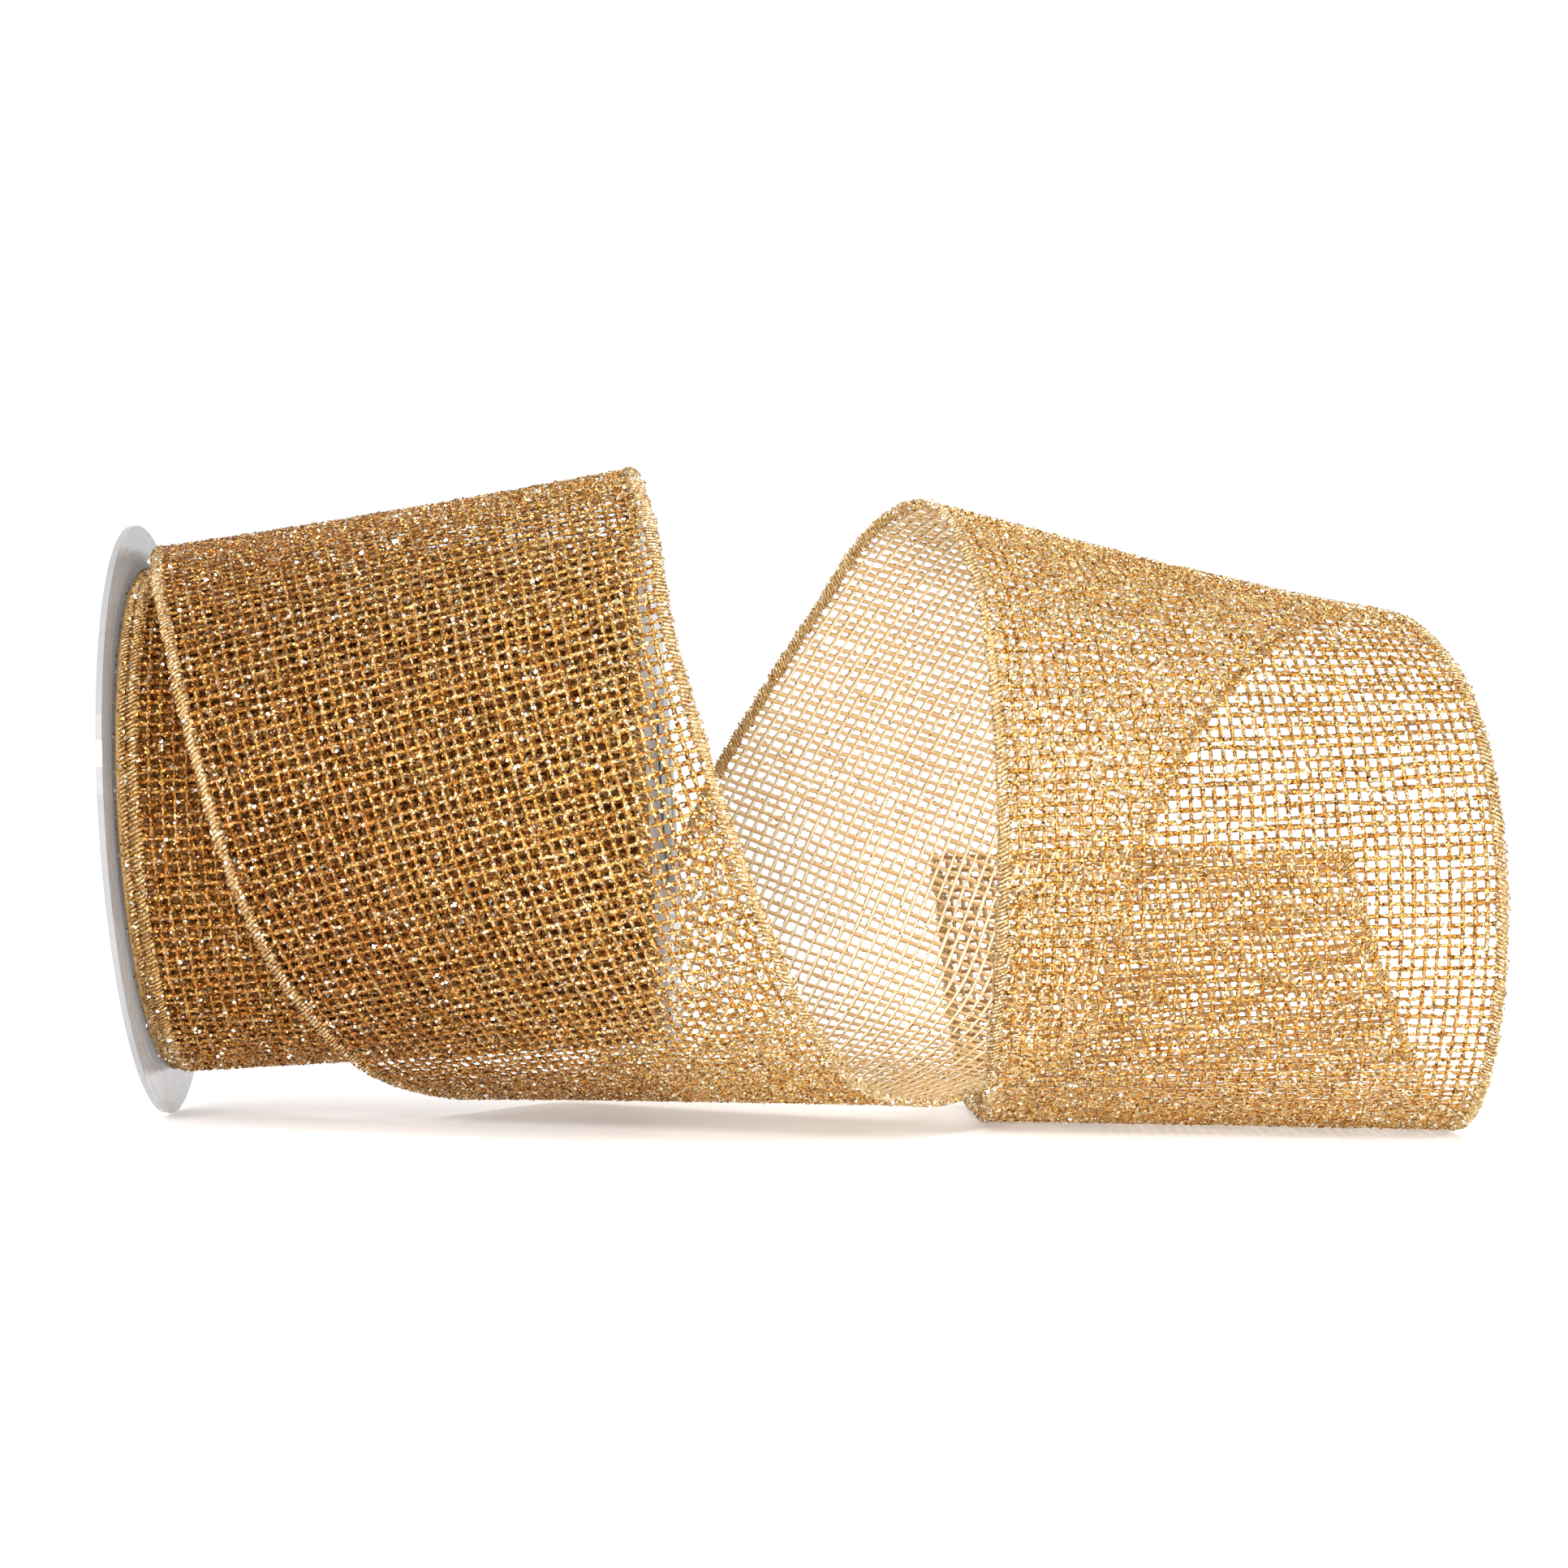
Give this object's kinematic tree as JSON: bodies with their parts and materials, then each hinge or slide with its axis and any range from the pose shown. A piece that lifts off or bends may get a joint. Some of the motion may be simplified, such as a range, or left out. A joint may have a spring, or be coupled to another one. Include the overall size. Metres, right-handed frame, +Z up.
{
  "type": "ribbon spool",
  "caption": "Flanged spool of wide wired mesh ribbon lying on its side, its outer turn sprung loose and pulled out to one side in open curls that end in a cut end.",
  "frame": {"origin": "centre of the bounding box at its base, on the surface the object lies on", "axes": "+Z up, +X from the spool towards the pulled-out ribbon, -Y the front"},
  "size_m": [0.2793, 0.1852, 0.1338],
  "materials": {
    "gold_mesh": "glittered metallic open mesh",
    "gold_thread": "satin metallic thread",
    "steel_wire": "bright",
    "clear_plastic": "clear",
    "hub_plastic": "satin",
    "cardboard": "matt",
    "paper_tape": "matt"
  },
  "bodies": {
    "loose_ribbon": {"outer_turn_mesh": "gold_mesh", "rising_mesh": "gold_mesh", "front_loop_mesh": "gold_mesh", "tail_mesh": "gold_mesh", "left_edge_binding": "gold_thread", "right_edge_binding": "gold_thread", "left_edge_wire": "steel_wire", "right_edge_wire": "steel_wire"},
    "spool": {"left_flange": "clear_plastic", "right_flange": "clear_plastic", "left_hub_plug": "hub_plastic", "right_hub_plug": "hub_plastic", "core_tube": "cardboard", "start_tape": "paper_tape", "wound_mesh": "gold_mesh", "wound_left_binding": "gold_thread", "wound_right_binding": "gold_thread"}
  },
  "joints": [
    {"name": "spool_spin", "type": "hinge", "parent": "loose_ribbon", "child": "spool", "pos_m": [-0.1335, -0.016, 0.06019], "axis": [0.9965, 0, 0.0837], "continuous": true}
  ]
}
